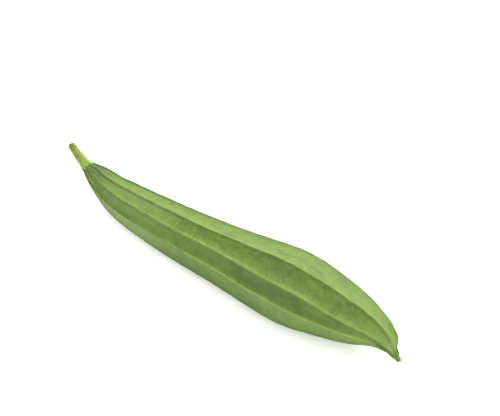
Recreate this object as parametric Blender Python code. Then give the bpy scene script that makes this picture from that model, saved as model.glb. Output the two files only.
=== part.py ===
"""Ridge gourd (angled luffa) as picked, lying on its side: the fruit, its cut stem and the dried flower rest.

The fruit is one closed skin, swept along a bent centreline. Ten ridges run from the stem to the tip, and every
cross-section comes from one formula: sharp crests at the ridge angles, with shallow hollow panels between.
Lengths named here are millimetres and angles are degrees. Blender gets metres.
The fruit lies along X with its stem at -X, and the surface that it rests on is Z = 0.
"""

import math

import bmesh
import bpy
import numpy as np

MM = 0.001
GAP = 0.3  # between neighbouring pieces

# The fruit: distance along X, sideways bend, height of the underside, radius to the ridge crests.
STATIONS = (
    (-142, 6.2, 17.5, 5.6),
    (-132, 5.2, 10.4, 9.6),
    (-120, 3.4, 5.4, 12.4),
    (-100, 0.8, 1.6, 15.7),
    (-70, -0.7, 0.0, 18.3),
    (-35, -0.9, 0.0, 20.3),
    (0, 0.0, 0.0, 22.4),
    (30, 0.3, 0.0, 25.0),
    (60, 1.5, 0.0, 26.7),
    (85, 4.4, 1.3, 23.8),
    (105, 6.6, 4.9, 19.0),
    (120, 7.4, 8.2, 14.0),
    (131, 7.4, 9.8, 8.6),
    (137, 7.0, 8.2, 4.7),
    (139.6, 7.2, 6.3, 2.9),
)

# The ridges: angle at the middle of the fruit, its turn over each 100 mm, how far it bows off that by 100 mm
# from the middle, and its last turn towards the tip. 0 is level on the near side (-Y), and 90 is straight up.
RIDGES = (
    (16.5, -3.6, -5, -3),
    (48, -7, -3, -6),
    (81.8, -2, -0.5, -2.5),
    (127, -1, 0, 9),
    (159, 0, 1, 6),
    (191, -2, 2, 3),
    (222, -2, 1, 0),
    (253, 0, 0, 0),
    (287, 0, 0, 0),
    (324, 0, 0, 0),
)
TIP_TURN_FROM, TIP_TURN_TO = 70, 118
REST_ANGLE = 17  # the two ridges it lies on stand this far from straight down
PRESSED_FLAT = 0.8  # how much of those two crests is flat where they touch the surface

PANEL_HOLLOW = 0.02  # dip of a panel below a flat one, as a share of the radius
STEM_END_HOLLOW = 0.025
TIP_HOLLOW = 0.08
STEM_END_REACH = 35  # how far the deeper panels run in from each end
TIP_REACH = 24
CREST_HEIGHT = 0.9  # the thin rib along each ridge
CREST_WIDTH = 0.8  # half the rib's width, halfway down
FULL_CREST_RADIUS = 15  # the rib is lower where the fruit is thinner than this

PINCH_DEPTH = 0.10  # the pucker on the near underside, just before the tip
PINCH_AT = 125
PINCH_LENGTH = 9
PINCH_ANGLE = -52

# Where the fruit swells or narrows: height, place along X, half its length, the angle it faces, and how much
# of the fruit it goes round, from 0 for one side to 1 for all of it
SWELLS = (
    (0.8, -124, 9, 105, 0),
    (-0.9, -124, 16, -50, 0),
    (0.4, 127, 5.5, 120, 0),
    (0.9, 132.8, 2.4, 105, 0),
    (-1.2, 136.6, 1.8, 105, 0.5),
    (-0.8, -84, 32, -50, 0),
    (0.7, 66, 22, 125, 0),
    (-1.0, 86, 16, -50, 0),
)

RINGS = 58
RING_CROWDING = 0.5  # 0 spaces the rings evenly, and more draws them towards both ends
PANEL_STEPS = (-1.0, -0.88, -0.5, 0.0, 0.5, 0.88)  # from one crest, -1, to the next, 1

# The stem
STEM_END = (-162.4, 9.6, 31.4)
STEM_STRAIGHT = 7.0  # it leaves the fruit in line with it for about this far
STEM_RADII = (
    (0.0, 5.2),
    (0.15, 4.75),
    (0.3, 4.1),
    (0.42, 3.8),
    (0.55, 3.75),
    (0.67, 3.6),
    (0.8, 3.25),
    (0.93, 3.15),
    (1.0, 2.7),
)
STEM_RIBS = 5
STEM_RIB_DEPTH = 0.05
STEM_SIDES = 20
STEM_RINGS = 14

# The dried rest of the flower
REST_STRAIGHT = 2.2  # it leaves the beak in line with it for about this far
REST_REACH = (3.2, 0.1, -1.7)
REST_RADII = ((0.0, 2.4), (0.35, 2.1), (0.7, 1.85), (1.0, 1.6))
REST_LOBES = 5
REST_LOBE_DEPTH = 0.24
REST_RAGGED = 0.35
REST_SIDES = 20
REST_RINGS = 7

SHARP_EDGE = 50
RIND_COLOUR = "7A9A4B"
STEM_COLOUR = "9DB24C"
DRY_COLOUR = "7C7440"


def linear_colour(text):
    """The Blender colour of an sRGB hex value."""
    shares = [int(text[i : i + 2], 16) / 255 for i in (0, 2, 4)]
    return [c / 12.92 if c <= 0.04045 else ((c + 0.055) / 1.055) ** 2.4 for c in shares] + [1.0]


def smooth_curve(points, at):
    """Reads the natural cubic spline through (x, value) points."""
    x, value = np.array(points, float).T
    count, step = len(x), np.diff(x)
    slope = np.diff(value) / step
    rows, right = np.eye(count), np.zeros(count)
    for i in range(1, count - 1):
        rows[i, i - 1 : i + 2] = step[i - 1], 2 * (step[i - 1] + step[i]), step[i]
        right[i] = 6 * (slope[i] - slope[i - 1])
    bend = np.linalg.solve(rows, right)
    at = np.asarray(at, float)
    i = np.clip(np.searchsorted(x, at) - 1, 0, count - 2)
    h, after, before = step[i], at - x[i], x[i + 1] - at
    return (
        (bend[i] * before**3 + bend[i + 1] * after**3) / (6 * h)
        + (value[i] / h - bend[i] * h / 6) * before
        + (value[i + 1] / h - bend[i + 1] * h / 6) * after
    )


def smooth_step(share):
    share = np.clip(share, 0, 1)
    return share * share * (3 - 2 * share)


def unit(vectors):
    return vectors / np.linalg.norm(vectors, axis=-1, keepdims=True)


def station_column(column, x):
    return smooth_curve([(row[0], row[column]) for row in STATIONS], x)


def centreline(x):
    """Points on the fruit's centreline."""
    lift = np.maximum(station_column(2, x), 0)
    height = lift + station_column(3, x) * math.cos(math.radians(REST_ANGLE)) - PRESSED_FLAT
    return np.stack([x, station_column(1, x), height], axis=-1)


def section_axes(path):
    """For each point of a path: its direction, the level direction to the near side, and the one upwards."""
    along = unit(np.gradient(path, axis=0))
    side = unit(np.cross(along, (0.0, 0.0, 1.0)))
    return along, side, np.cross(side, along)


def ridge_angles(x):
    """The angle of each ridge at x, in radians, and then the first one again, a full turn on."""
    share = x / 100
    last = smooth_step((x - TIP_TURN_FROM) / (TIP_TURN_TO - TIP_TURN_FROM))
    angles = [np.radians(angle + turn * share + bow * share**2 + hook * last) for angle, turn, bow, hook in RIDGES]
    return angles + [angles[0] + 2 * math.pi]


def fruit_surface(x, steps):
    """Rings of points round the fruit, one ring for each x, with these steps across each panel."""
    radius = station_column(3, x)[:, None]
    x = x[:, None]
    hollow = (
        PANEL_HOLLOW
        + (STEM_END_HOLLOW - PANEL_HOLLOW) * smooth_step(1 - (x - STATIONS[0][0]) / STEM_END_REACH)
        + (TIP_HOLLOW - PANEL_HOLLOW) * smooth_step(1 - (STATIONS[-1][0] - x) / TIP_REACH)
    )
    rib = CREST_HEIGHT * np.minimum(1, radius / FULL_CREST_RADIUS)
    angles, radii = [], []
    crests = ridge_angles(x)
    for first, last in zip(crests, crests[1:]):
        half = (last - first) / 2
        across = np.array(steps)[None, :]
        dip = (1 - np.cos(half) + hollow) * (1 - across**2)
        from_crest = (1 - np.abs(across)) * half * radius
        angles.append(first + (across + 1) * half)
        radii.append((radius - rib) * (1 - dip) + rib / (1 + (from_crest / CREST_WIDTH) ** 2))
    angle, radius = np.concatenate(angles, axis=1), np.concatenate(radii, axis=1)
    facing = np.maximum(0, np.cos(angle - math.radians(PINCH_ANGLE))) ** 2
    radius = radius * (1 - PINCH_DEPTH * facing * np.exp(-(((x - PINCH_AT) / PINCH_LENGTH) ** 2)))
    for height, at, length, facing, all_round in SWELLS:
        towards = np.maximum(0, np.cos(angle - math.radians(facing))) ** 2
        share = all_round + (1 - all_round) * towards
        radius = radius + height * share * np.exp(-(((x - at) / length) ** 2))
    middle = centreline(x[:, 0])
    _, side, up = section_axes(middle)
    around = np.cos(angle)[..., None] * side[:, None, :] + np.sin(angle)[..., None] * up[:, None, :]
    points = middle[:, None, :] + radius[..., None] * around
    points[..., 2] = np.maximum(points[..., 2], 0)
    return points


def ring_places():
    """X of each ring, closer together at the ends of the fruit."""
    share = np.linspace(0, 1, RINGS)
    share = share - RING_CROWDING * np.sin(2 * math.pi * share) / (2 * math.pi)
    return STATIONS[0][0] + share * (STATIONS[-1][0] - STATIONS[0][0])


def bent_path(start, straight, reach, share):
    """Points from start, first along straight, to where reach ends."""
    return start + 2 * share * (1 - share) * straight + share**2 * reach


def swept_rings(path, radii, sides, wave, ragged=0.0):
    """Rings round a path. wave gives the share to add to the radius at each angle and place along it."""
    along, side, up = section_axes(path)
    turn = np.linspace(0, 2 * math.pi, sides, endpoint=False)[None, :]
    share = np.linspace(0, 1, len(path))[:, None]
    radius = np.asarray(radii)[:, None] * (1 + wave(turn, share))
    around = np.cos(turn)[..., None] * side[:, None, :] + np.sin(turn)[..., None] * up[:, None, :]
    slip = ragged * share**2 * np.cos(3 * turn + 1)
    return path[:, None, :] + radius[..., None] * around + slip[..., None] * along[:, None, :]


def closed_skin(rings, name, material):
    """An object from rings of points: a skin of quads with a fan of triangles on each end."""
    mesh = bmesh.new()
    loops = [[mesh.verts.new(point * MM) for point in ring] for ring in rings]
    count = len(loops[0])
    for near, far in zip(loops, loops[1:]):
        for i in range(count):
            j = (i + 1) % count
            mesh.faces.new((near[i], near[j], far[j], far[i]))
    for ring, loop, flipped in ((rings[0], loops[0], True), (rings[-1], loops[-1], False)):
        hub = mesh.verts.new(ring.mean(axis=0) * MM)
        for i in range(count):
            corners = (loop[i], loop[(i + 1) % count], hub)
            mesh.faces.new(corners[::-1] if flipped else corners)
    bmesh.ops.recalc_face_normals(mesh, faces=mesh.faces)
    data = bpy.data.meshes.new(name)
    mesh.to_mesh(data)
    mesh.free()
    data.shade_smooth()
    data.set_sharp_from_angle(angle=math.radians(SHARP_EDGE))
    data.materials.append(material)
    piece = bpy.data.objects.new(name, data)
    bpy.context.scene.collection.objects.link(piece)
    return piece


def material(name, colour, roughness):
    made = bpy.data.materials.new(name)
    made.use_nodes = True
    shader = made.node_tree.nodes["Principled BSDF"]
    shader.inputs["Base Color"].default_value = linear_colour(colour)
    shader.inputs["Roughness"].default_value = roughness
    shader.inputs["Metallic"].default_value = 0.0
    return made


def make_gourd():
    rings = fruit_surface(ring_places(), PANEL_STEPS)
    return closed_skin(rings, "gourd", material("rind", RIND_COLOUR, 0.45))


def make_stem():
    """The stalk leaves the fruit in line with it, then bends up and back to its cut end."""
    neck = centreline(np.array([STATIONS[0][0], STATIONS[0][0] + 1.0]))
    outward = unit(neck[0] - neck[1])
    start = neck[0] + outward * GAP
    share = np.linspace(0, 1, STEM_RINGS)[:, None]
    path = bent_path(start, outward * STEM_STRAIGHT, np.array(STEM_END) - start, share)
    radii = smooth_curve(STEM_RADII, share[:, 0])

    def ribs(turn, share):
        return STEM_RIB_DEPTH * np.cos(STEM_RIBS * turn) * (1 - share * 0.5)

    rings = swept_rings(path, radii, STEM_SIDES, ribs)
    return closed_skin(rings, "stem", material("stem", STEM_COLOUR, 0.55))


def make_flower_rest():
    """The withered flower hangs on at the tip of the beak."""
    beak = centreline(np.array([STATIONS[-1][0] - 1.0, STATIONS[-1][0]]))
    outward, reach = unit(beak[1] - beak[0]), np.array(REST_REACH)
    share = np.linspace(0, 1, REST_RINGS)[:, None]
    path = bent_path(beak[1] + outward * GAP, outward * REST_STRAIGHT, reach, share)
    radii = smooth_curve(REST_RADII, share[:, 0])

    def lobes(turn, share):
        return REST_LOBE_DEPTH * share * np.cos(REST_LOBES * turn)

    rings = swept_rings(path, radii, REST_SIDES, lobes, REST_RAGGED)
    return closed_skin(rings, "flower_rest", material("dry_flower", DRY_COLOUR, 0.9))


def centre_over_origin(pieces):
    """Moves every mesh so that the whole object's box is centred over the origin in X and Y."""
    corners = np.array([vertex.co for piece in pieces for vertex in piece.data.vertices])
    middle = (corners.min(axis=0) + corners.max(axis=0)) / 2
    for piece in pieces:
        for vertex in piece.data.vertices:
            vertex.co.x -= middle[0]
            vertex.co.y -= middle[1]


def main():
    for old in list(bpy.data.objects):
        bpy.data.objects.remove(old)
    centre_over_origin([make_gourd(), make_stem(), make_flower_rest()])


main()
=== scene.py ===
"""A ridge gourd (angled luffa) as picked, lying on a pale table.

It has three pieces: the fruit, its cut stalk and its withered flower. Lengths named here are millimetres,
unless they say metres, and angles are degrees. X runs along the fruit from the stalk to the tip.
"""

import math

import bpy
import numpy as np
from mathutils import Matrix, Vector, noise


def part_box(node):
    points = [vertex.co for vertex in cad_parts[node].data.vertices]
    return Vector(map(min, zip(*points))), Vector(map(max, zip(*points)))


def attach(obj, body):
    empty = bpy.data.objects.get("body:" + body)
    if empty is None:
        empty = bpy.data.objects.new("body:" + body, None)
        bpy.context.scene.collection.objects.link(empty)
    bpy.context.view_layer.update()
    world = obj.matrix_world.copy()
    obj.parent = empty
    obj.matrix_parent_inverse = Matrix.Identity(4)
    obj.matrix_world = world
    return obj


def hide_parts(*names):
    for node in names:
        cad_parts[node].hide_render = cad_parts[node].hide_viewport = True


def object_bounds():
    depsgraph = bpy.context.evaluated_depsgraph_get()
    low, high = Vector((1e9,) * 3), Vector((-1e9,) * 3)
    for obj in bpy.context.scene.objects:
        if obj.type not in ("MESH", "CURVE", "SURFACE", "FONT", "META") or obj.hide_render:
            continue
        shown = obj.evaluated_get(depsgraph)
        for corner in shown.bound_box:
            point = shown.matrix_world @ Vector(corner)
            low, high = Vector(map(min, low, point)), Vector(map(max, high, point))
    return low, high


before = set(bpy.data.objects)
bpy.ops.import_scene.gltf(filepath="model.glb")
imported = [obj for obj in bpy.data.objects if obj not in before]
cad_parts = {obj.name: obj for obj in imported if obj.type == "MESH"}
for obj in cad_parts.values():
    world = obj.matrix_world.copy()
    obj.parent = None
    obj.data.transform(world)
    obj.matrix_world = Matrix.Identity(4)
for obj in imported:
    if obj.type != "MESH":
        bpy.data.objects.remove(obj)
cad_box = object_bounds()

MM = 0.001

# ---------------------------------------------------------------- measures of the gourd

# The fruit: distance along X, sideways bend, height of the underside, radius to the ridge crests.
STATIONS = (
    (-142, 6.2, 17.5, 5.6),
    (-132, 5.2, 10.4, 9.6),
    (-120, 3.4, 5.4, 12.4),
    (-100, 0.8, 1.6, 15.7),
    (-70, -0.7, 0.0, 18.3),
    (-35, -0.9, 0.0, 20.3),
    (0, 0.0, 0.0, 22.4),
    (30, 0.3, 0.0, 25.0),
    (60, 1.5, 0.0, 26.7),
    (85, 4.4, 1.3, 23.8),
    (105, 6.6, 4.9, 19.0),
    (120, 7.4, 8.2, 14.0),
    (131, 7.4, 9.8, 8.6),
    (137, 7.0, 8.2, 4.7),
    (139.6, 7.2, 6.3, 2.9),
)
STEM_SIDE, TIP_SIDE = STATIONS[0][0], STATIONS[-1][0]

# The ridges: angle at the middle of the fruit, its turn over each 100 mm, how far it bows off that by 100 mm
# from the middle, and its last turn towards the tip. 0 is level on the near side (-Y), and 90 is straight up.
RIDGES = (
    (16.5, -3.6, -5, -3),
    (48, -7, -3, -6),
    (81.8, -2, -0.5, -2.5),
    (127, -1, 0, 9),
    (159, 0, 1, 6),
    (191, -2, 2, 3),
    (222, -2, 1, 0),
    (253, 0, 0, 0),
    (287, 0, 0, 0),
    (324, 0, 0, 0),
)
LAST_TURN = (70, 118)  # the last turn starts and is complete here
REST_ANGLE = 17  # the two ridges it lies on stand this far from straight down
PRESSED_FLAT = 0.8  # how much of those two crests is flat where they touch the table

PANEL_HOLLOW = 0.02  # dip of a panel below a flat one, as a share of the radius
STEM_END_HOLLOW = 0.025
TIP_HOLLOW = 0.08
STEM_END_REACH = 35  # how far the deeper panels run in from each end
TIP_REACH = 24
CREST_HEIGHT = 0.9  # the thin rib along each ridge
CREST_WIDTH = 0.8  # half the rib's width, halfway down
FULL_CREST_RADIUS = 15  # the rib is lower where the fruit is thinner than this

PINCH_DEPTH = 0.10  # the pucker on the near underside, just before the tip
PINCH_AT = 125
PINCH_LENGTH = 9
PINCH_ANGLE = -52

# Where the fruit swells or narrows: height, place along X, half its length, the angle it faces, and how far
# it goes round the fruit, from 0 for one side to 1 for all of it
SWELLS = (
    (0.8, -124, 9, 105, 0),
    (-0.9, -124, 16, -50, 0),
    (0.4, 127, 5.5, 120, 0),
    (0.9, 132.8, 2.4, 105, 0),
    (-1.2, 136.6, 1.8, 105, 0.5),
    (-0.8, -84, 32, -50, 0),
    (0.7, 66, 22, 125, 0),
    (-1.0, 86, 16, -50, 0),
)

PLAIN_RINGS = 58  # the solid that these pieces stand for
PLAIN_STEPS = (-1.0, -0.88, -0.5, 0.0, 0.5, 0.88)
RINGS = 430
RING_CROWDING = 0.5  # 0 spaces the rings evenly, and more draws them towards both ends
PANEL_STEPS = 20
STEP_CROWDING = 1.5  # 1 spaces the steps of a panel evenly, and more draws them towards its crests

# How unevenly it has grown
CREST_SWAY = (0.55, 23)  # how far a ridge wanders to each side, and over what length
CREST_NICK = (0.26, 7)  # the same for its small nicks
CREST_DIPS = (0.35, 8)  # share of the rib's height, and over what length
CREST_LEAN = 0.3  # each ridge is this much narrower on its steep side, and wider on its gentle one
FURROW = (0.20, 1.3, 0.8)  # depth beside the steep side, distance from the crest, and half its width
FURROW_SHALLOW = 0.3  # the share of that depth in the middle of the fruit
FURROW_DEEPER = ((0, -50), (85, 115))  # where it goes back to its full depth, towards each end
PANEL_SWELL = (0.22, 0.3, (26, 9, 9))  # height, share by which it is sunk, and length along and across
PANEL_PUCKER = (0.07, (3.2, 5, 5))  # height, and length along and across
CREST_STAYS = 0.7  # how much less a crest swells and puckers than the panels do
NECK_FURROW = (0.35, (16, 1.9, 1.9))  # the same for the grooves near the stalk
FOLDS = (1.0, (4, 1.4, 1.4), 133, 8.5)  # depth and size, and where along and how long
FOLDS_FACE = (5, 1.4, 20)  # their angle there, its turn over each mm, and how wide they are

# How it is coloured. A share of 1 shows a colour in full. Panel 0 lies between ridges 0 and 1. ALONG gives
# where a change starts and where it is complete.
# The pale crest lines are partly the crests' own paler, yellower green and partly painted highlight,
# strongest on ridge 0 and towards the tip
CREST_PALE = (0.95, 0.24, 0.04, 0.25, 0.40, 0.50, 0.40, 0.32, 0.20, 0.12)  # each ridge
CREST_PALE_ALONG = (-90, 20)
CREST_PALER = 0.7  # share added at the tip
CREST_PALER_ALONG = (88, 113)
CREST_FADE = (0.75, 2.4, 2.4, 1.5, 1.2, 1.2, 1.2, 1.2, 1.2, 1.2)  # how far out on its gentle side
STEEP_FADE = 0.7  # and on its steep side
# The dark crest lines are partly the crests' own darker green and partly painted shade, strongest on ridges 8
# and 9, which lie along the table
CREST_DARK = (0.00, 0.00, 0.00, 0.55, 0.50, 0.50, 0.50, 0.50, 0.60, 0.90)  # each ridge
CREST_DARK_FADE = 2.0  # how far out
# The furrow colour is painted shade: it darkens the steep side of each ridge, where the groove beside the rib
# lies in shade
FURROW_DARK = (0.5, 0.6, 0.4, 0.4, 0.4, 0.4, 0.4, 0.4, 0.4, 0.4)  # the furrow beside each ridge
FURROW_DARK_LEAST = 0.4  # the share of that in the middle of the fruit
FURROW_DARKER = ((0.6, -40, -100), (1.1, 108, 124))  # share added towards the stalk and towards the tip
# The paler panels are partly the rind's own paler colour and partly painted light: the lower panels are lit
# and carry a painted reflection of the pale table, and PANEL_LEAN lightens one side of panels 0, 1 and 9
PANEL_PALE = (0.27, 0.48, 0.00, 0.00, 0.10, 0.15, 0.20, 0.25, 0.40, 0.54)  # each panel, near the stalk
PANEL_PALE_ALONG = (-15, -90)
PANEL_LEAN = (0.5, 0.8, 0.0, 0.0, 0.0, 0.0, 0.0, 0.0, 0.0, -0.2)  # more of that towards the next ridge
PANEL_PALE_TIP = (0.00, 0.08, 0.00, 0.00, 0.00, 0.00, 0.05, 0.10, 0.20, 0.25)  # each panel, near the tip
PANEL_PALE_TIP_ALONG = (20, 80)
PANEL_PALE_BEAK = {1: 0.32}  # the share that this panel gains over each of the two stretches below
PANEL_PALE_BEAK_ALONG = ((112, 128), (122, 134))
# Painted shade: these panels are darker across the middle of the fruit
PANEL_PAINTED_SHADE = (0.45, 0.25, 0.00, 0.00, 0.20, 0.20, 0.00, 0.00, 0.00, 0.00)  # each panel, where it is widest
PANEL_PAINTED_SHADE_AT = (45, 42)  # where that is, and over what length to each side
PANEL_MOTTLED = (0.60, 1.00, 0.45, 0.80, 0.90, 1.00, 0.90, 1.00, 0.90, 1.00)  # each panel
SHOULDER_DARK = {1: (0.7, 0.9, 38), 2: (1.7, 0.05, 28)}  # panel: share, lean to the ridge before, and reach
NO_SHOULDER = (0, 0, 1)  # the other panels
SHOULDER_ACROSS = (0.5, -0.5)  # where a full lean starts and is complete: 1 is the next ridge, -1 the last
STREAKED_REACH = 50  # how far the streaks run from the stalk
YELLOWED_ALONG = (102, 126)
BROWNED_REACH = 4  # how far the dull end of the tip runs in
COLLAR_SCALLOP = (0.8, 0.4)  # how far the stalk's pale collar runs onto the fruit, and its scallops' depth
COLLAR_BLUR = 0.9  # its edge is soft over this to each side

# The stem
STEM_END = (-162.4, 9.6, 31.4)
STEM_STRAIGHT = 7.0  # it leaves the fruit in line with it for about this far
STEM_RADII = (
    (0.0, 5.2),
    (0.15, 4.75),
    (0.3, 4.1),
    (0.42, 3.8),
    (0.55, 3.75),
    (0.67, 3.6),
    (0.8, 3.25),
    (0.93, 3.15),
    (1.0, 2.7),
)
STEM_SUNK = 2.2  # the stalk starts this deep inside the fruit
STEM_RIBS = 5
STEM_RIB_DEPTH = 0.05
STEM_RIB_FADE = 0.5  # how much of the ribs is lost by the cut end
STEM_SIDES = 60
STEM_RINGS = 90
STEM_FIBRE = (0.10, 0.4, (7, 0.7, 0.7))  # height, share by which it is sunk, and length along and across
STEM_CUT = ((0.93, 0.8, 0.6, 0.35, 0.15), 0.25)  # the rings that close the cut end, and its bulge
STEM_CUT_ALONG = (0.7, 1.0)  # the shares of its length where the dried end starts and is complete
STEM_COLLAR_ALONG = (0.5, 0.0)  # the same for the pale foot
STEM_SHARP_EDGE = 50  # edges that turn by more than this are sharp

# The dried rest of the flower
REST_STRAIGHT = 2.2  # it leaves the beak in line with it for about this far
REST_REACH = (3.2, 0.1, -1.7)
REST_RADII = ((0.0, 2.4), (0.35, 2.1), (0.7, 1.85), (1.0, 1.6))
REST_LOBES = 5
REST_LOBE_DEPTH = 0.24
REST_RAGGED = (0.35, 3, 1)  # how far its edge goes in and out, how many times, and its shift round it
REST_HOLLOW = ((0.85, 0.6, 0.3), 0.8)  # the rings that close its end, and how deep they go
REST_TORN_ALONG = (0.5, 1.0)  # the shares of its length where the brown edge starts and is complete
REST_HOLLOW_AT = 0.8  # its hollow is as brown as at this share
REST_SIDES = 60
REST_RINGS = 30
REST_CRINKLE = (0.16, (0.9, 0.6, 0.6))

GAP = 0.3  # between the fruit and each of the two pieces on its ends

TABLE_SIDE = 6.0  # metres
TABLE_GLOW = 0.38

# ---------------------------------------------------------------- the camera

CAMERA_ABOVE = 42.0
CAMERA_TURN = 39.28
CAMERA_DISTANCE = 1000
CAMERA_AIM = (-23.55, 65.09, 0)
LENS = 95.6
SENSOR_WIDTH = 36.0
CLIP_NEAR, CLIP_FAR = 0.05, 50  # metres


def place_camera():
    """Looks down at the gourd from beyond its tip, on the near side."""
    turn, above = math.radians(CAMERA_TURN), math.radians(CAMERA_ABOVE)
    back = Vector((math.sin(turn) * math.cos(above), -math.cos(turn) * math.cos(above), math.sin(above)))
    data = bpy.data.cameras.new("camera")
    data.lens, data.sensor_width = LENS, SENSOR_WIDTH
    data.clip_start, data.clip_end = CLIP_NEAR, CLIP_FAR
    camera = bpy.data.objects.new("camera", data)
    camera.location = Vector(CAMERA_AIM) * MM + back * CAMERA_DISTANCE * MM
    camera.rotation_euler = (-back).to_track_quat("-Z", "Y").to_euler()
    bpy.context.scene.collection.objects.link(camera)
    bpy.context.scene.camera = camera


# ---------------------------------------------------------------- curves and natural unevenness


def smooth_curve(points, at):
    """Reads the natural cubic spline through (x, value) points."""
    x, value = np.array(points, float).T
    count, step = len(x), np.diff(x)
    slope = np.diff(value) / step
    rows, right = np.eye(count), np.zeros(count)
    for i in range(1, count - 1):
        rows[i, i - 1 : i + 2] = step[i - 1], 2 * (step[i - 1] + step[i]), step[i]
        right[i] = 6 * (slope[i] - slope[i - 1])
    bend = np.linalg.solve(rows, right)
    at = np.asarray(at, float)
    i = np.clip(np.searchsorted(x, at) - 1, 0, count - 2)
    h, after, before = step[i], at - x[i], x[i + 1] - at
    return (
        (bend[i] * before**3 + bend[i + 1] * after**3) / (6 * h)
        + (value[i] / h - bend[i] * h / 6) * before
        + (value[i + 1] / h - bend[i + 1] * h / 6) * after
    )


def rise(at, start, end):
    """Goes smoothly from 0 at start to 1 at end. Either may be the larger."""
    share = np.clip((at - start) / (end - start), 0, 1)
    return share * share * (3 - 2 * share)


def bell(at, middle, width):
    """A smooth hump, 1 in the middle and fading out over this width to each side."""
    return np.exp(-(((at - middle) / width) ** 2))


def unit(vectors):
    return vectors / np.linalg.norm(vectors, axis=-1, keepdims=True)


LINES_APART, LUMPS_APART = 7.31, 3.7  # between the patterns of two seeds, in lumps, so that none repeats


def wander(at, length, seed):
    """A smooth line that drifts between about -1 and 1 over this length."""
    drift = [noise.noise(Vector((v / length, seed * LINES_APART, 0.5))) for v in np.ravel(at)]
    return np.reshape(drift, np.shape(at))


def lumps(points, sizes, seed):
    """A smooth solid pattern from about -1 to 1, with lumps of these sizes along X, Y and Z."""
    scaled = np.asarray(points) / np.array(sizes) + seed * LUMPS_APART
    return np.reshape([noise.noise(Vector(p)) for p in scaled.reshape(-1, 3)], scaled.shape[:-1])


# ---------------------------------------------------------------- the fruit


def station_column(column, x):
    return smooth_curve([(row[0], row[column]) for row in STATIONS], x)


def centreline(x):
    """Points on the fruit's centreline."""
    lift = np.maximum(station_column(2, x), 0)
    height = lift + station_column(3, x) * math.cos(math.radians(REST_ANGLE)) - PRESSED_FLAT
    return np.stack([x, station_column(1, x), height], axis=-1)


def section_axes(path):
    """For each point of a path: its direction, the level direction to the near side, and the one upwards."""
    along = unit(np.gradient(path, axis=0))
    side = unit(np.cross(along, (0.0, 0.0, 1.0)))
    return along, side, np.cross(side, along)


def ridge_angles(x, radius, unevenness):
    """The angle of each ridge at x, in radians, and then the first one again, a full turn on."""
    share = x / 100
    last = rise(x, *LAST_TURN)
    angles = []
    for i, (angle, turn, bow, hook) in enumerate(RIDGES):
        sway = CREST_SWAY[0] * wander(x, CREST_SWAY[1], i) + CREST_NICK[0] * wander(x, CREST_NICK[1], i + 40)
        plain = np.radians(angle + turn * share + bow * share**2 + hook * last)
        angles.append(plain + unevenness * sway / radius)
    return angles + [angles[0] + 2 * math.pi]


def panel_colours(i, x, across, from_crest, rib, furrow):
    """How much of each of the rind's colours panel i shows at each of its points."""
    steep = across > 0
    ahead = (i + 1) % len(RIDGES)
    deeper = FURROW_DARK_LEAST + sum(share * rise(x, start, end) for share, start, end in FURROW_DARKER)
    pale_crest = np.where(steep, CREST_PALE[ahead], CREST_PALE[i])
    fade = np.where(steep, STEEP_FADE, CREST_FADE[i])
    paler = rise(x, *CREST_PALE_ALONG) * (1 + CREST_PALER * rise(x, *CREST_PALER_ALONG))
    # partly painted shade where the lowest ridges meet the table
    dark_crest = np.where(steep, CREST_DARK[ahead], CREST_DARK[i]) * np.exp(-from_crest / CREST_DARK_FADE)
    # partly painted light, on the lower panels and towards one side of a panel
    belly = PANEL_PALE[i] * (1 + PANEL_LEAN[i] * across) * rise(x, *PANEL_PALE_ALONG)
    belly = belly + PANEL_PALE_TIP[i] * rise(x, *PANEL_PALE_TIP_ALONG)
    belly = belly + PANEL_PALE_BEAK.get(i, 0) * sum(rise(x, *along) for along in PANEL_PALE_BEAK_ALONG)
    share, lean, reach = SHOULDER_DARK.get(i, NO_SHOULDER)
    return {
        # painted shade in the furrow beside the steep side of each ridge
        "furrow": furrow * FURROW_DARK[ahead] * deeper,
        # the crests' own paler green, partly painted highlight
        "crest": pale_crest * np.exp(-from_crest / fade) * paler,
        "belly": belly * (1 - rib / 2),
        # painted shade across the middle of the fruit, together with the dark crest lines
        "deep": PANEL_PAINTED_SHADE[i] * bell(x, *PANEL_PAINTED_SHADE_AT) * (1 - rib) + dark_crest,
        "mottled": np.full_like(from_crest, PANEL_MOTTLED[i]),
        "shoulder": share * rise(lean * across, *SHOULDER_ACROSS) * rise(x, STEM_SIDE + reach, STEM_SIDE),
    }


def fruit_panels(x, across, unevenness):
    """The fruit's panels side by side: the angle and radius of each point, and what it shows."""
    radius = station_column(3, x[:, 0])[:, None]
    hollow = (
        PANEL_HOLLOW
        + (STEM_END_HOLLOW - PANEL_HOLLOW) * rise(x, STEM_SIDE + STEM_END_REACH, STEM_SIDE)
        + (TIP_HOLLOW - PANEL_HOLLOW) * rise(x, TIP_SIDE - TIP_REACH, TIP_SIDE)
    )
    rib_height = CREST_HEIGHT * np.minimum(1, radius / FULL_CREST_RADIUS)
    dip, length = CREST_DIPS
    tops = [1 - unevenness * dip * np.abs(wander(x, length, i + 80)) for i in range(len(RIDGES))]
    tops.append(tops[0])
    steep = across > 0
    width = CREST_WIDTH * (1 + unevenness * CREST_LEAN * np.where(steep, -1, 1))
    depth, away, spread = FURROW
    opening = np.maximum(FURROW_SHALLOW, sum(rise(x, *along) for along in FURROW_DEEPER))
    ridges = ridge_angles(x, radius, unevenness)
    panels = []
    for i, (first, last) in enumerate(zip(ridges, ridges[1:])):
        half = (last - first) / 2
        from_crest = (1 - np.abs(across)) * half * radius
        rib = 1 / (1 + (from_crest / width) ** 2)
        furrow = steep * bell(from_crest, away, spread) * opening
        sunk = (1 - np.cos(half) + hollow) * (1 - across**2)
        height = rib_height * (tops[i] * (1 - across) + tops[i + 1] * (1 + across)) / 2
        panel = panel_colours(i, x, across, from_crest, rib, furrow)
        panel["angle"] = first + (across + 1) * half
        panel["radius"] = (radius - rib_height) * (1 - sunk) + height * rib - unevenness * depth * furrow
        panel["near crest"] = np.exp(-from_crest)
        panels.append(panel)
    return {name: np.concatenate([panel[name] for panel in panels], axis=1) for name in panels[0]}


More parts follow.
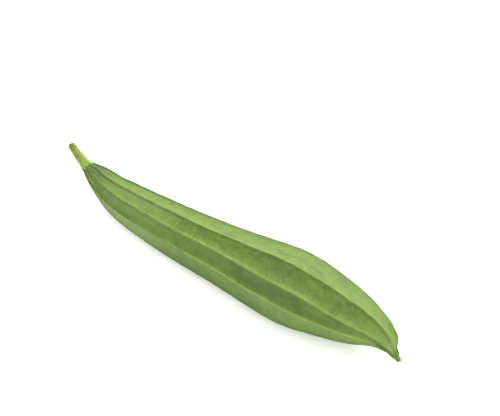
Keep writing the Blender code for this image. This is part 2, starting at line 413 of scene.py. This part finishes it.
def fruit_surface(x, steps, unevenness=1.0):
    """Rings of points round the fruit, one for each x, with these steps across each panel.

    It also gives each point's marks, which say how much of each colour of the rind it shows.
    """
    x = x[:, None]
    marks = fruit_panels(x, np.array(steps)[None, :], unevenness)
    angle, radius, near_crest = (marks.pop(name) for name in ("angle", "radius", "near crest"))
    facing = np.maximum(0, np.cos(angle - math.radians(PINCH_ANGLE))) ** 2
    radius = radius * (1 - PINCH_DEPTH * facing * bell(x, PINCH_AT, PINCH_LENGTH))
    for height, at, length, faces, all_round in SWELLS:
        facing = np.maximum(0, np.cos(angle - math.radians(faces))) ** 2
        radius = radius + height * (all_round + (1 - all_round) * facing) * bell(x, at, length)
    middle = centreline(x[:, 0])
    _, side, up = section_axes(middle)
    around = np.cos(angle)[..., None] * side[:, None, :] + np.sin(angle)[..., None] * up[:, None, :]
    points = middle[:, None, :] + radius[..., None] * around
    if unevenness:
        points = points + unevenness * growth(points, x, angle, near_crest)[..., None] * around
    points[..., 2] = np.maximum(points[..., 2], 0)
    collar = STEM_SIDE + COLLAR_SCALLOP[0] + COLLAR_SCALLOP[1] * np.cos(len(RIDGES) * angle)
    marks["collar"] = rise(x, collar + COLLAR_BLUR, collar - COLLAR_BLUR)
    # the folds' colour is painted shade
    marks["fold"] = fold_share(x, angle)
    marks["neck"] = rise(x, STEM_SIDE + STREAKED_REACH, STEM_SIDE)
    marks["yellowed"] = rise(x, *YELLOWED_ALONG)
    marks["tip"] = rise(x, TIP_SIDE - BROWNED_REACH, TIP_SIDE)
    return points, marks


def fold_share(x, angle):
    """How much of the puckered folds, just before the beak, is at x and this angle."""
    _, _, at, length = FOLDS
    faces, turning, wide = FOLDS_FACE
    turn = (np.degrees(angle) - faces - turning * (x - at) + 180) % 360 - 180
    return bell(x, at, length) * bell(turn, 0, wide)


def growth(points, x, angle, near_crest):
    """How far each point of the rind stands above or below the plain shape."""
    slim = np.minimum(1, station_column(3, x[:, 0])[:, None] / FULL_CREST_RADIUS)
    swell_height, sunk, swell_sizes = PANEL_SWELL
    swell = swell_height * (lumps(points, swell_sizes, 1) - sunk)
    pucker = PANEL_PUCKER[0] * lumps(points, PANEL_PUCKER[1], 2)
    neck = rise(x, STEM_SIDE + STEM_END_REACH, STEM_SIDE)
    furrow = NECK_FURROW[0] * np.minimum(0, lumps(points, NECK_FURROW[1], 3)) * neck
    folds = FOLDS[0] * np.abs(lumps(points, FOLDS[1], 4)) * fold_share(x, angle)
    return (swell + pucker) * slim * (1 - CREST_STAYS * near_crest) + furrow * (1 - near_crest) - folds


def ring_places(count):
    """X of each ring, closer together at the ends of the fruit."""
    share = np.linspace(0, 1, count)
    share = share - RING_CROWDING * np.sin(2 * math.pi * share) / (2 * math.pi)
    return STEM_SIDE + share * (TIP_SIDE - STEM_SIDE)


def panel_steps():
    """Places across a panel from one crest, -1, to just before the next, 1."""
    even = np.linspace(-1, 1, PANEL_STEPS, endpoint=False)
    return np.sign(even) * (1 - (1 - np.abs(even)) ** STEP_CROWDING)


def to_row_frame():
    """The move from the source's own axes to the row frame, found where the solid lies."""
    rings, _ = fruit_surface(ring_places(PLAIN_RINGS), PLAIN_STEPS, unevenness=0)
    low, high = (np.array(corner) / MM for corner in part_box("gourd"))
    flat = rings.reshape(-1, 3)
    move = (low + high) / 2 - (flat.min(axis=0) + flat.max(axis=0)) / 2
    return np.array([move[0], move[1], 0.0])


# ---------------------------------------------------------------- skins


def closing_rings(ring, outward, shares, bulge):
    """Smaller and smaller rings that round off an end, and bulge out by this much in the middle."""
    centre = ring.mean(axis=0)
    return [centre + (ring - centre) * s + outward * bulge * math.sqrt(1 - s * s) for s in shares]


def skin(name, rings, marks, move, material, sharp=None):
    """An object from rings of points, closed at both ends. marks are named values for the rings' points."""
    rings = np.asarray(rings)
    count, sides = rings.shape[:2]
    hubs = np.array([rings[0].mean(axis=0), rings[-1].mean(axis=0)])
    points = (np.concatenate([rings.reshape(-1, 3), hubs]) + move) * MM
    low, high = (np.array(corner) for corner in cad_box)
    points = np.clip(points, low, high)
    row, side = np.meshgrid(np.arange(count - 1), np.arange(sides), indexing="ij")
    beside = (side + 1) % sides
    corners = (row * sides + side, row * sides + beside, (row + 1) * sides + beside, (row + 1) * sides + side)
    faces = np.stack(corners, axis=-1).reshape(-1, 4).tolist()
    i = np.arange(sides)
    j = (i + 1) % sides
    last = (count - 1) * sides
    faces += np.stack([j, i, np.full(sides, count * sides)], axis=-1).tolist()
    faces += np.stack([last + i, last + j, np.full(sides, count * sides + 1)], axis=-1).tolist()
    data = bpy.data.meshes.new(name)
    data.from_pydata(points.tolist(), [], faces)
    data.flip_normals()
    for mark, values in marks.items():
        values = np.broadcast_to(values, (count, sides))
        ends = [values[0].mean(), values[-1].mean()]
        layer = data.attributes.new(mark, "FLOAT", "POINT")
        layer.data.foreach_set("value", np.concatenate([values.ravel(), ends]).astype(np.float32))
    data.shade_smooth()
    if sharp:
        data.set_sharp_from_angle(angle=math.radians(sharp))
    data.materials.append(material)
    piece = bpy.data.objects.new(name, data)
    bpy.context.scene.collection.objects.link(piece)
    return piece


# ---------------------------------------------------------------- finishes


def linear(text):
    """The linear colour of an sRGB hex value."""
    shares = [int(text[i : i + 2], 16) / 255 for i in (0, 2, 4)]
    return [c / 12.92 if c <= 0.04045 else ((c + 0.055) / 1.055) ** 2.4 for c in shares] + [1.0]


def add(tree, kind, links=None, **settings):
    """Adds a node with its settings. links gives each input a value, or another node's output."""
    node = tree.nodes.new(kind)
    for name, value in settings.items():
        setattr(node, name, value)
    for name, value in (links or {}).items():
        if isinstance(value, bpy.types.NodeSocket):
            tree.links.new(value, node.inputs[name])
        else:
            node.inputs[name].default_value = value
    return node


MIX_SHARE, MIX_FROM, MIX_TO, MIX_RESULT = 0, 6, 7, 2  # sockets of a colour mix


def layered(tree, colour, layers):
    """Lays colours over a first one. Each layer has the shares that multiply to show it, and its sRGB hex."""
    for shares, text in layers:
        shown = shares[0]
        for share in shares[1:]:
            shown = add(tree, "ShaderNodeMath", {0: shown, 1: share}, operation="MULTIPLY").outputs[0]
        links = {MIX_SHARE: shown, MIX_FROM: colour, MIX_TO: linear(text)}
        colour = add(tree, "ShaderNodeMix", links, data_type="RGBA").outputs[MIX_RESULT]
    return colour


def grain(tree, place, sizes, low, high, detail=2.0, turn=0.0):
    """A share from 0 to 1 where a noise with grains of these sizes, in mm, goes from low to high."""
    scale = [1 / (size * MM) for size in sizes]
    scaled = add(tree, "ShaderNodeMapping", {"Vector": place, "Scale": scale, "Location": (turn, turn, turn)})
    made = add(tree, "ShaderNodeTexNoise", {"Vector": scaled.outputs[0], "Scale": 1.0, "Detail": detail})
    share = add(tree, "ShaderNodeMapRange", {"Value": made.outputs[0], "From Min": low, "From Max": high})
    return share.outputs[0]


def new_material(name, mark_names=()):
    """A new material, its nodes, its shader, the place of each point, and the skin's marks of these names."""
    material = bpy.data.materials.new(name)
    material.use_nodes = True
    tree = material.node_tree
    place = add(tree, "ShaderNodeTexCoord").outputs["Object"]
    marks = {}
    for mark in mark_names:
        marks[mark] = add(tree, "ShaderNodeAttribute", attribute_name=mark).outputs["Fac"]
    return material, tree, tree.nodes["Principled BSDF"], place, marks


RIND_MARKS = "crest furrow belly deep mottled shoulder fold collar neck yellowed tip".split()


def rind_finish():
    """Fresh gourd rind: a waxy green skin over firm flesh, so it is satin, a little see-through at the thin
    crests, streaked lengthways and flecked with pale breathing pores."""
    material, tree, shader, place, marks = new_material("fresh_rind", RIND_MARKS)
    cloud = grain(tree, place, (26, 8, 8), 0.35, 0.65)
    patch = grain(tree, place, (8, 5, 5), 0.40, 0.62, detail=3.0, turn=2.0)
    shade = grain(tree, place, (6, 4, 4), 0.48, 0.70, turn=7.0)
    # Single breathing pores are too fine to show, so each fleck is drawn as large as a group of them
    fleck = grain(tree, place, (1.4, 3.6, 3.6), 0.50, 0.70, turn=9.0)
    broken = grain(tree, place, (5, 2.5, 2.5), 0.38, 0.58, detail=3.0, turn=8.0)
    streak = grain(tree, place, (7, 1.5, 1.5), 0.38, 0.56, detail=3.0, turn=4.0)
    blotch = grain(tree, place, (3.4, 1.8, 1.8), 0.30, 0.48, detail=3.0, turn=5.0)
    layers = (
        ((cloud,), "54701F"),
        ((patch, 0.62), "617D32"),
        ((shade, marks["mottled"], 0.62), "3F5817"),
        ((fleck, marks["mottled"], 0.40), "728C40"),
        # painted shade across the middle of the fruit, and the dark crest lines
        ((marks["deep"],), "33501A"),
        # partly the rind's own paler colour, partly painted light and a painted reflection of the table
        ((marks["belly"],), "7A914F"),
        # painted shade in the furrow beside each ridge
        ((marks["furrow"],), "36500A"),
        # the crests' own paler green, partly painted highlight
        ((marks["crest"], 0.7), "8DA64C"),
        ((marks["crest"], broken, 0.75), "8DA64C"),
        ((marks["yellowed"], 0.22), "7A9140"),
        ((marks["neck"], 0.5), "5A7529"),
        ((streak, marks["neck"], 0.78), "365009"),
        ((marks["shoulder"],), "34490A"),
        # painted shade in the puckered folds before the beak
        ((marks["fold"], blotch), "334D0C"),
        ((marks["tip"], 0.7), "4A5A1C"),
        ((marks["collar"],), "7A9340"),
    )
    tree.links.new(layered(tree, linear("435F18"), layers), shader.inputs["Base Color"])
    rough = add(tree, "ShaderNodeMapRange", {"Value": patch, "To Min": 0.56, "To Max": 0.66})
    tree.links.new(rough.outputs[0], shader.inputs["Roughness"])
    shader.inputs["IOR"].default_value = 1.45
    shader.inputs["Specular IOR Level"].default_value = 0.42
    shader.inputs["Subsurface Weight"].default_value = 0.12
    shader.inputs["Subsurface Radius"].default_value = (0.6, 1.0, 0.3)
    shader.inputs["Subsurface Scale"].default_value = 1.2 * MM
    wrinkle = grain(tree, place, (1.1, 6, 6), 0.35, 0.65, detail=3.0, turn=6.0)
    # The skin's own grain is finer than this 0.7 mm, and too fine to show
    skin_grain = grain(tree, place, (0.7, 0.7, 0.7), 0.3, 0.7)
    bump = add(tree, "ShaderNodeBump", {"Height": wrinkle, "Strength": 0.5, "Distance": 0.12 * MM})
    links = {"Height": skin_grain, "Strength": 0.4, "Distance": 0.06 * MM, "Normal": bump.outputs[0]}
    tree.links.new(add(tree, "ShaderNodeBump", links).outputs[0], shader.inputs["Normal"])
    return material


def stalk_finish():
    """Fresh cut stalk: tough yellow-green fibre, matt, with threads along it and an end dried to olive."""
    material, tree, shader, place, marks = new_material("fibrous_stalk", ("cut", "collar"))
    cloud = grain(tree, place, (5, 4, 4), 0.35, 0.65, turn=3.0)
    # Single threads are finer than this 0.6 mm, and too fine to show, so each is drawn as wide as a strand
    thread = grain(tree, place, (9, 0.6, 0.6), 0.38, 0.68, detail=3.0)
    layers = (
        ((cloud,), "74872A"),
        ((thread, 0.4), "4F6317"),
        ((marks["collar"], 0.6), "74942C"),
        ((marks["cut"], 0.8), "54610F"),
    )
    tree.links.new(layered(tree, linear("67791E"), layers), shader.inputs["Base Color"])
    shader.inputs["Roughness"].default_value = 0.6
    shader.inputs["Subsurface Weight"].default_value = 0.1
    shader.inputs["Subsurface Radius"].default_value = (0.8, 1.0, 0.3)
    shader.inputs["Subsurface Scale"].default_value = 1.0 * MM
    bump = add(tree, "ShaderNodeBump", {"Height": thread, "Strength": 0.6, "Distance": 0.12 * MM})
    tree.links.new(bump.outputs[0], shader.inputs["Normal"])
    return material


def withered_finish():
    """Withered petals: thin dry tissue, dull and papery, olive going brown at the torn edge."""
    material, tree, shader, place, marks = new_material("withered_petal", ("torn",))
    # Veins are finer than this 0.5 mm, and too fine to show
    vein = grain(tree, place, (2.5, 0.5, 0.5), 0.35, 0.65, detail=3.0)
    layers = (((vein,), "7C8842"), ((marks["torn"], 0.35), "4C4A20"))
    tree.links.new(layered(tree, linear("5C6828"), layers), shader.inputs["Base Color"])
    shader.inputs["Roughness"].default_value = 0.85
    bump = add(tree, "ShaderNodeBump", {"Height": vein, "Strength": 0.7, "Distance": 0.15 * MM})
    tree.links.new(bump.outputs[0], shader.inputs["Normal"])
    return material


def table_finish():
    """Opal acrylic of a light table: matt, white and softly lit from below, so shade on it stays pale."""
    material, _, shader, _, _ = new_material("opal_acrylic")
    shader.inputs["Base Color"].default_value = linear("FBFBFB")
    shader.inputs["Roughness"].default_value = 0.9
    shader.inputs["Emission Color"].default_value = (1, 1, 1, 1)
    shader.inputs["Emission Strength"].default_value = TABLE_GLOW
    shader.inputs["Specular IOR Level"].default_value = 0.2
    return material


# ---------------------------------------------------------------- the pieces


def make_fruit(move):
    """The rind, all of the fruit between its stalk and its withered flower."""
    rings, marks = fruit_surface(ring_places(RINGS), panel_steps())
    fruit = skin("fruit_rind", rings, marks, move, rind_finish())
    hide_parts("gourd")
    return fruit


def bent_path(start, straight, reach, share):
    """Points from start, first along straight, to where reach ends."""
    return start + 2 * share * (1 - share) * straight + share**2 * reach


def swept_rings(path, radii, sides, wave, ragged=(0, 0, 0)):
    """Rings round a path, and which way each point of them faces.

    wave gives the share to add to the radius at each angle and place along it. ragged gives how far the last
    ring goes in and out along the path, how many times, and the shift of that round it, in radians.
    """
    along, side, up = section_axes(path)
    turn = np.linspace(0, 2 * math.pi, sides, endpoint=False)[None, :]
    share = np.linspace(0, 1, len(path))[:, None]
    radius = np.asarray(radii)[:, None] * (1 + wave(turn, share))
    around = np.cos(turn)[..., None] * side[:, None, :] + np.sin(turn)[..., None] * up[:, None, :]
    depth, teeth, first = ragged
    slip = depth * share**2 * np.cos(teeth * turn + first)
    return path[:, None, :] + radius[..., None] * around + slip[..., None] * along[:, None, :], around


def make_stalk(move):
    """The stalk leaves the fruit in line with it, then bends up and back to its cut end."""
    neck = centreline(np.array([STEM_SIDE, STEM_SIDE + 1.0]))
    outward = unit(neck[0] - neck[1])
    start = neck[0] + outward * GAP
    share = np.linspace(0, 1, STEM_RINGS)[:, None]
    path = bent_path(start, outward * STEM_STRAIGHT, np.array(STEM_END) - start, share)
    radii = smooth_curve(STEM_RADII, share[:, 0])

    def ribs(turn, share):
        return STEM_RIB_DEPTH * np.cos(STEM_RIBS * turn) * (1 - STEM_RIB_FADE * share)

    rings, around = swept_rings(path, radii, STEM_SIDES, ribs)
    height, sunk, sizes = STEM_FIBRE
    rings = rings + (height * (lumps(rings, sizes, 5) - sunk))[..., None] * around
    foot = rings[0] - outward * (STEM_SUNK + GAP)
    cut = closing_rings(rings[-1], unit(path[-1] - path[-2]), *STEM_CUT)
    rings = np.concatenate([foot[None], rings, cut])
    along = np.concatenate([[0], share[:, 0], np.ones(len(cut))])[:, None]
    marks = {"cut": rise(along, *STEM_CUT_ALONG), "collar": rise(along, *STEM_COLLAR_ALONG)}
    stalk = skin("cut_stalk", rings, marks, move, stalk_finish(), sharp=STEM_SHARP_EDGE)
    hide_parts("stem")
    return stalk


def make_withered_flower(move):
    """The withered flower hangs on at the tip of the beak."""
    beak = centreline(np.array([TIP_SIDE - 1.0, TIP_SIDE]))
    outward, reach = unit(beak[1] - beak[0]), np.array(REST_REACH)
    share = np.linspace(0, 1, REST_RINGS)[:, None]
    path = bent_path(beak[1] + outward * GAP, outward * REST_STRAIGHT, reach, share)
    radii = smooth_curve(REST_RADII, share[:, 0])

    def lobes(turn, share):
        return REST_LOBE_DEPTH * share * np.cos(REST_LOBES * turn)

    rings, around = swept_rings(path, radii, REST_SIDES, lobes, REST_RAGGED)
    height, sizes = REST_CRINKLE
    rings = rings + (height * lumps(rings, sizes, 6))[..., None] * around
    hollow = closing_rings(rings[-1], -outward, *REST_HOLLOW)
    rings = np.concatenate([rings, hollow])
    along = np.concatenate([share[:, 0], np.full(len(hollow), REST_HOLLOW_AT)])[:, None]
    marks = {"torn": rise(along, *REST_TORN_ALONG)}
    flower = skin("withered_flower", rings, marks, move, withered_finish())
    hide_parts("flower_rest")
    return flower


def make_table():
    half = TABLE_SIDE / 2
    data = bpy.data.meshes.new("table")
    corners = [(-half, -half, 0), (half, -half, 0), (half, half, 0), (-half, half, 0)]
    data.from_pydata(corners, [], [(0, 1, 2, 3)])
    data.materials.append(table_finish())
    table = bpy.data.objects.new("table", data)
    bpy.context.scene.collection.objects.link(table)


# ---------------------------------------------------------------- light

SKY_STRENGTH = (0.65, 1.5)  # level with the table, and straight up
KEY_SIZE = 1.3  # metres
KEY_WATTS = 35.0
KEY_COLOUR = (1.08, 1.0, 0.90)
KEY_FROM = (-0.10, 0.97, 1.05)  # metres


def place_light():
    """One large, warm soft box above and behind the gourd, in a white room that is brightest overhead."""
    scene = bpy.context.scene
    world = bpy.data.worlds.new("white_room")
    world.use_nodes = True
    tree = world.node_tree
    room = tree.nodes["Background"]
    room.inputs["Color"].default_value = (1, 1, 1, 1)
    direction = add(tree, "ShaderNodeTexCoord").outputs["Generated"]
    height = add(tree, "ShaderNodeSeparateXYZ", {0: direction}).outputs["Z"]
    level, overhead = SKY_STRENGTH
    strength = add(tree, "ShaderNodeMapRange", {"Value": height, "To Min": level, "To Max": overhead})
    tree.links.new(strength.outputs[0], room.inputs["Strength"])
    scene.world = world
    data = bpy.data.lights.new("soft_box", "AREA")
    data.energy, data.size, data.color = KEY_WATTS, KEY_SIZE, KEY_COLOUR
    light = bpy.data.objects.new("soft_box", data)
    light.location = KEY_FROM
    light.rotation_euler = Vector(KEY_FROM).to_track_quat("Z", "Y").to_euler()
    scene.collection.objects.link(light)
    scene.view_settings.view_transform = "Standard"


place_camera()
place_light()
make_table()
move = to_row_frame()
for piece in (make_fruit(move), make_stalk(move), make_withered_flower(move)):
    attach(piece, "root")
